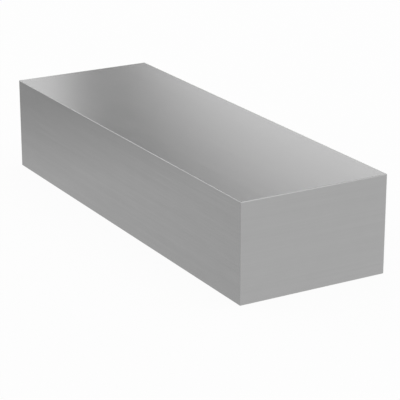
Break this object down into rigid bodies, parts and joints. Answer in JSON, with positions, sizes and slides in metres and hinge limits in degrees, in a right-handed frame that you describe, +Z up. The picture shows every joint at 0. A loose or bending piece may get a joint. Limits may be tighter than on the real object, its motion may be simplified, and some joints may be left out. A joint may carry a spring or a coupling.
{
  "type": "steel flat bar",
  "caption": "Short solid steel flat bar of rectangular section, with slightly rounded long edges and square-cut, deburred ends; raw stock for machining, welding or clamping.",
  "frame": {"origin": "middle of the lower wide face, on the surface that the bar lies on", "axes": "+X along the length, +Y across the width, +Z up through the thickness"},
  "size_m": [0.1524, 0.0508, 0.0318],
  "materials": {
    "bright_steel": "bright cold-drawn steel, satin, with fine draw lines along the length"
  },
  "bodies": {
    "root": {"flat_bar": "bright_steel"}
  },
  "joints": []
}
